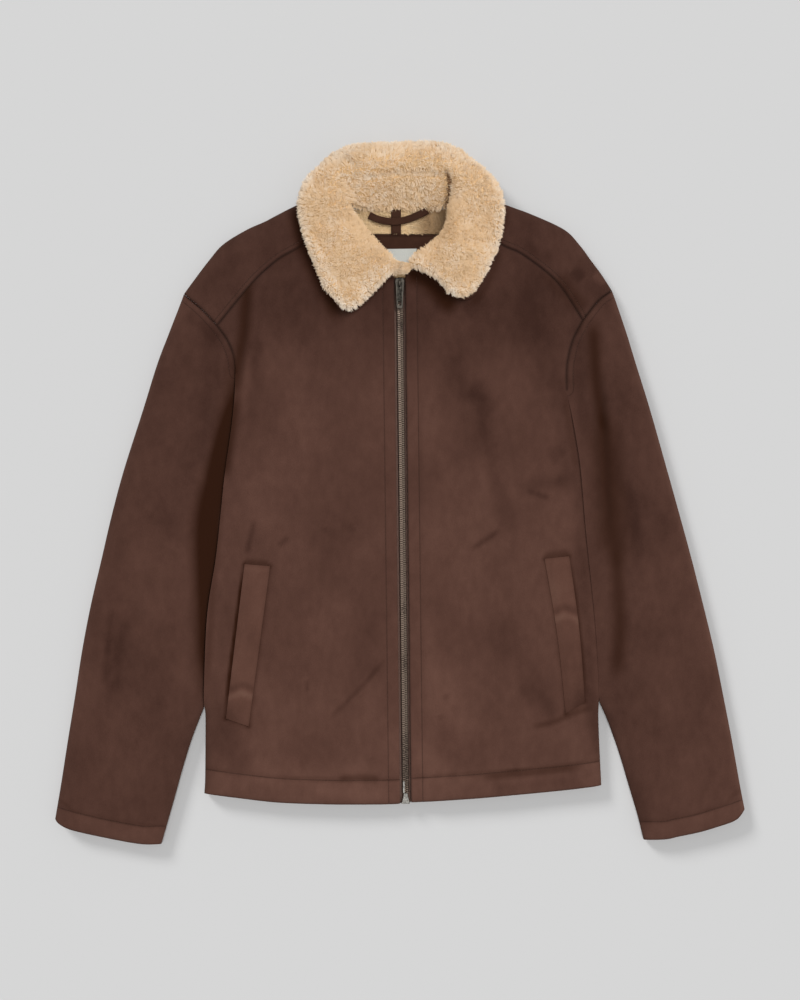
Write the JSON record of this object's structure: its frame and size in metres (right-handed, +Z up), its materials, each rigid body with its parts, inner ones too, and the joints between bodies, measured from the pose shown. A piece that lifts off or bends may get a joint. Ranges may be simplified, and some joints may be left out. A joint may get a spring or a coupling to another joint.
{
  "type": "faux suede zipped jacket with a teddy collar",
  "caption": "Zipped jacket of bonded faux suede with a folded teddy-pile collar, set-in sleeves and slanted welt pockets, laid flat on its back.",
  "frame": {"origin": "on the surface the jacket lies on, under the middle of its bounding box", "axes": "+Z up from the surface, +Y towards the collar, +X towards the wearer's left sleeve, which is the viewer's right"},
  "size_m": [0.7916, 0.8076, 0.0461],
  "materials": {
    "suede": "brushed microfibre faux suede, dark brown, matt with a soft nap",
    "suede_welt": "the same faux suede with its nap brushed the other way, a little lighter",
    "teddy": "curly teddy pile, cream to tan, matt",
    "label": "bare woven satin label, pale",
    "zip_tape": "woven polyester zip tape, dark brown",
    "zip_metal": "antiqued dark metal zip, worn lighter on its edges"
  },
  "bodies": {
    "jacket": {"back": "suede", "front_right": "suede", "front_left": "suede", "yoke_right": "suede", "yoke_left": "suede", "sleeve_top_right": "suede", "sleeve_top_left": "suede", "sleeve_under_right": "suede", "sleeve_under_left": "suede", "pocket_welt_right": "suede_welt", "pocket_welt_left": "suede_welt", "collar_upper": "teddy", "collar_under_right": "suede", "collar_under_left": "suede", "neck_lining": "teddy", "neck_facing": "suede", "neck_tape": "suede", "hanger_loop": "suede", "neck_label": "label", "zip_tape_right": "zip_tape", "zip_tape_left": "zip_tape", "zip_teeth_right": "zip_metal", "zip_teeth_left": "zip_metal", "zip_slider": "zip_metal", "zip_box": "zip_metal"},
    "pull_tab": {"zip_pull_tab": "zip_metal"}
  },
  "joints": [
    {"name": "pull_tab_hinge", "type": "hinge", "parent": "jacket", "child": "pull_tab", "pos_m": [0.00008, 0.24, 0.0194], "axis": [-1, 0, 0], "range_deg": [0, 120]}
  ]
}
